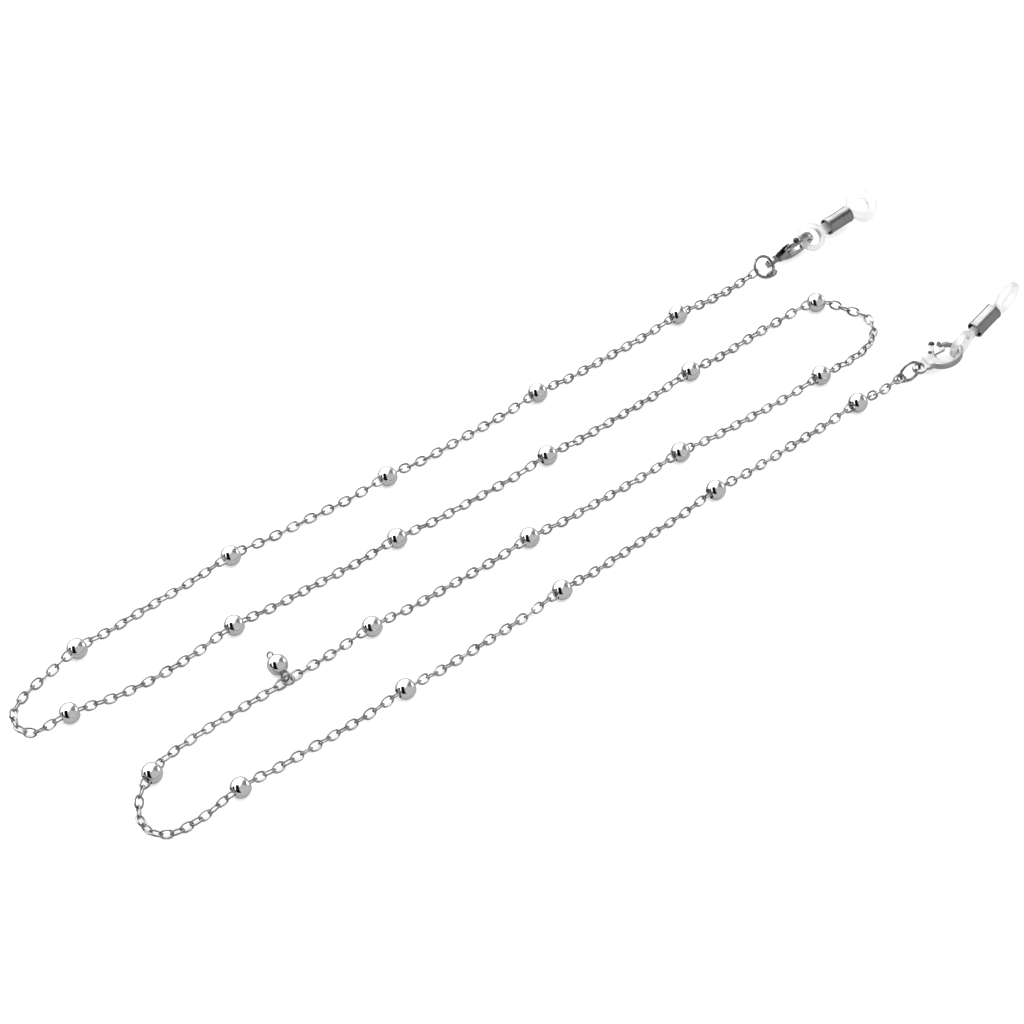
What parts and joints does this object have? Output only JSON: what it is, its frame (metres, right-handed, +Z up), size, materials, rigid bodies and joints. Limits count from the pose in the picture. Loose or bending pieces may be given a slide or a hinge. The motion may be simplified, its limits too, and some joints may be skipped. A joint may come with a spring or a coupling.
{
  "type": "eyeglass retainer chain",
  "caption": "Beaded metal neck chain for eyeglasses, laid in folded rows, with a small lobster clasp and a clear silicone temple loop with a metal sleeve at each end.",
  "frame": {"origin": "on the surface the chain lies on, under the middle of the beads and end fittings", "axes": "+X along the rows towards the two clasps, +Y across the rows towards the first row, +Z up"},
  "size_m": [0.2089, 0.0478, 0.0089],
  "materials": {
    "polished_metal": "polished silver-coloured plating",
    "clear_silicone": "clear, slightly milky, satin"
  },
  "bodies": {
    "third_row": {"bead_12": "polished_metal", "bead_13": "polished_metal", "bead_14": "polished_metal", "bead_15": "polished_metal", "bead_16": "polished_metal", "chain_13": "polished_metal", "chain_14": "polished_metal", "chain_15": "polished_metal", "chain_16": "polished_metal", "chain_17": "polished_metal", "joining_ring": "polished_metal"},
    "charm": {"charm": "polished_metal"},
    "second_row": {"chain_12": "polished_metal", "chain_11": "polished_metal", "chain_10": "polished_metal", "chain_09": "polished_metal", "chain_08": "polished_metal", "chain_07": "polished_metal", "bead_11": "polished_metal", "bead_10": "polished_metal", "bead_09": "polished_metal", "bead_08": "polished_metal", "bead_07": "polished_metal", "bead_06": "polished_metal"},
    "left_turn": {"chain_06": "polished_metal", "bead_05": "polished_metal"},
    "first_row_1": {"chain_05": "polished_metal", "bead_04": "polished_metal"},
    "first_row_2": {"chain_04": "polished_metal", "bead_03": "polished_metal"},
    "first_row_3": {"chain_03": "polished_metal", "bead_02": "polished_metal"},
    "first_row_4": {"chain_02": "polished_metal", "bead_01": "polished_metal"},
    "first_row_end": {"chain_01": "polished_metal"},
    "bottom_turn": {"chain_18": "polished_metal", "bead_17": "polished_metal"},
    "fourth_row_1": {"chain_19": "polished_metal", "bead_18": "polished_metal"},
    "fourth_row_2": {"chain_20": "polished_metal", "bead_19": "polished_metal"},
    "fourth_row_3": {"chain_21": "polished_metal", "bead_20": "polished_metal"},
    "fourth_row_4": {"chain_22": "polished_metal", "bead_21": "polished_metal"},
    "fourth_row_end": {"chain_23": "polished_metal"},
    "ring_a": {"jump_ring_a": "polished_metal"},
    "clasp_a": {"clasp_body_a": "polished_metal", "clasp_pin_a": "polished_metal", "clasp_spring_a": "polished_metal"},
    "gate_a": {"clasp_gate_a": "polished_metal"},
    "loop_a": {"silicone_loop_a": "clear_silicone"},
    "sleeve_a": {"sleeve_a": "polished_metal"},
    "ring_b": {"jump_ring_b": "polished_metal"},
    "clasp_b": {"clasp_body_b": "polished_metal", "clasp_pin_b": "polished_metal", "clasp_spring_b": "polished_metal"},
    "gate_b": {"clasp_gate_b": "polished_metal"},
    "loop_b": {"silicone_loop_b": "clear_silicone"},
    "sleeve_b": {"sleeve_b": "polished_metal"}
  },
  "joints": [
    {"name": "charm_swing", "type": "hinge", "parent": "third_row", "child": "charm", "pos_m": [-0.06453, -0.00556, 0.00092], "axis": [1, 0, 0], "range_deg": [0, 90]},
    {"name": "right_turn_swing", "type": "hinge", "parent": "third_row", "child": "second_row", "pos_m": [0.05697, -0.01001, 0.0019], "axis": [0, 0, -1], "range_deg": [0, 35]},
    {"name": "left_turn_swing", "type": "hinge", "parent": "second_row", "child": "left_turn", "pos_m": [-0.09903, 0.00999, 0.0019], "axis": [0, 0, 1], "range_deg": [0, 35]},
    {"name": "bead_05_lift", "type": "hinge", "parent": "left_turn", "child": "first_row_1", "pos_m": [-0.09103, 0.02099, 0.0019], "axis": [0, -1, 0], "range_deg": [0, 35]},
    {"name": "bead_04_lift", "type": "hinge", "parent": "first_row_1", "child": "first_row_2", "pos_m": [-0.05803, 0.02199, 0.0019], "axis": [0, -1, 0], "range_deg": [0, 35]},
    {"name": "bead_03_lift", "type": "hinge", "parent": "first_row_2", "child": "first_row_3", "pos_m": [-0.02453, 0.01999, 0.0019], "axis": [0, -1, 0], "range_deg": [0, 35]},
    {"name": "bead_02_lift", "type": "hinge", "parent": "first_row_3", "child": "first_row_4", "pos_m": [0.01047, 0.01949, 0.0019], "axis": [0, -1, 0], "range_deg": [0, 35]},
    {"name": "bead_01_lift", "type": "hinge", "parent": "first_row_4", "child": "first_row_end", "pos_m": [0.04497, 0.01899, 0.0019], "axis": [0, -1, 0], "range_deg": [0, 35]},
    {"name": "bottom_turn_swing", "type": "hinge", "parent": "third_row", "child": "bottom_turn", "pos_m": [-0.09403, -0.00901, 0.0019], "axis": [0, 0, -1], "range_deg": [0, 35]},
    {"name": "bead_17_lift", "type": "hinge", "parent": "bottom_turn", "child": "fourth_row_1", "pos_m": [-0.08353, -0.02051, 0.0019], "axis": [0, -1, 0], "range_deg": [0, 35]},
    {"name": "bead_18_lift", "type": "hinge", "parent": "fourth_row_1", "child": "fourth_row_2", "pos_m": [-0.04953, -0.02101, 0.0019], "axis": [0, -1, 0], "range_deg": [0, 35]},
    {"name": "bead_19_lift", "type": "hinge", "parent": "fourth_row_2", "child": "fourth_row_3", "pos_m": [-0.01453, -0.02051, 0.0019], "axis": [0, -1, 0], "range_deg": [0, 35]},
    {"name": "bead_20_lift", "type": "hinge", "parent": "fourth_row_3", "child": "fourth_row_4", "pos_m": [0.02247, -0.01951, 0.0019], "axis": [0, -1, 0], "range_deg": [0, 35]},
    {"name": "bead_21_lift", "type": "hinge", "parent": "fourth_row_4", "child": "fourth_row_end", "pos_m": [0.05797, -0.01951, 0.0019], "axis": [0, -1, 0], "range_deg": [0, 35]},
    {"name": "ring_a_turn", "type": "hinge", "parent": "first_row_end", "child": "ring_a", "pos_m": [0.06482, 0.01834, 0.00205], "axis": [-0.0101, -0.9667, -0.2556], "range_deg": [0, 50]},
    {"name": "clasp_a_turn", "type": "hinge", "parent": "ring_a", "child": "clasp_a", "pos_m": [0.06911, 0.01864, 0.00205], "axis": [-0.0101, -0.9667, -0.2556], "range_deg": [0, 50]},
    {"name": "gate_a_press", "type": "hinge", "parent": "clasp_a", "child": "gate_a", "pos_m": [0.0724, 0.01805, 0.00414], "axis": [0.0101, 0.9667, 0.2556], "range_deg": [0, 22], "stiffness_Nm_per_rad": 0.0002, "springref_deg": -28.65},
    {"name": "loop_a_turn", "type": "hinge", "parent": "clasp_a", "child": "loop_a", "pos_m": [0.07705, 0.01829, 0.00306], "axis": [0.0427, -0.89, -0.454], "range_deg": [0, 35]},
    {"name": "sleeve_a_slide", "type": "slide", "parent": "loop_a", "child": "sleeve_a", "axis": [-0.9986, -0.0523, 0.0087], "range_m": [0, 0.0012]},
    {"name": "ring_b_turn", "type": "hinge", "parent": "fourth_row_end", "child": "ring_b", "pos_m": [0.06885, -0.01964, 0.00252], "axis": [-0.0087, 0.0009, 1], "range_deg": [-40, 40]},
    {"name": "clasp_b_turn", "type": "hinge", "parent": "ring_b", "child": "clasp_b", "pos_m": [0.07309, -0.02038, 0.00252], "axis": [-0.0087, 0.0009, 1], "range_deg": [-40, 40]},
    {"name": "gate_b_press", "type": "hinge", "parent": "clasp_b", "child": "gate_b", "pos_m": [0.07684, -0.01917, 0.00255], "axis": [0.0087, -0.0009, -1], "range_deg": [0, 22], "stiffness_Nm_per_rad": 0.0002, "springref_deg": -28.65},
    {"name": "loop_b_turn", "type": "hinge", "parent": "clasp_b", "child": "loop_b", "pos_m": [0.08102, -0.02147, 0.00259], "axis": [-0.1715, -0.0272, 0.9848], "range_deg": [-35, 35]},
    {"name": "sleeve_b_slide", "type": "slide", "parent": "loop_b", "child": "sleeve_b", "axis": [-0.9727, -0.1541, -0.1736], "range_m": [0, 0.0012]}
  ]
}
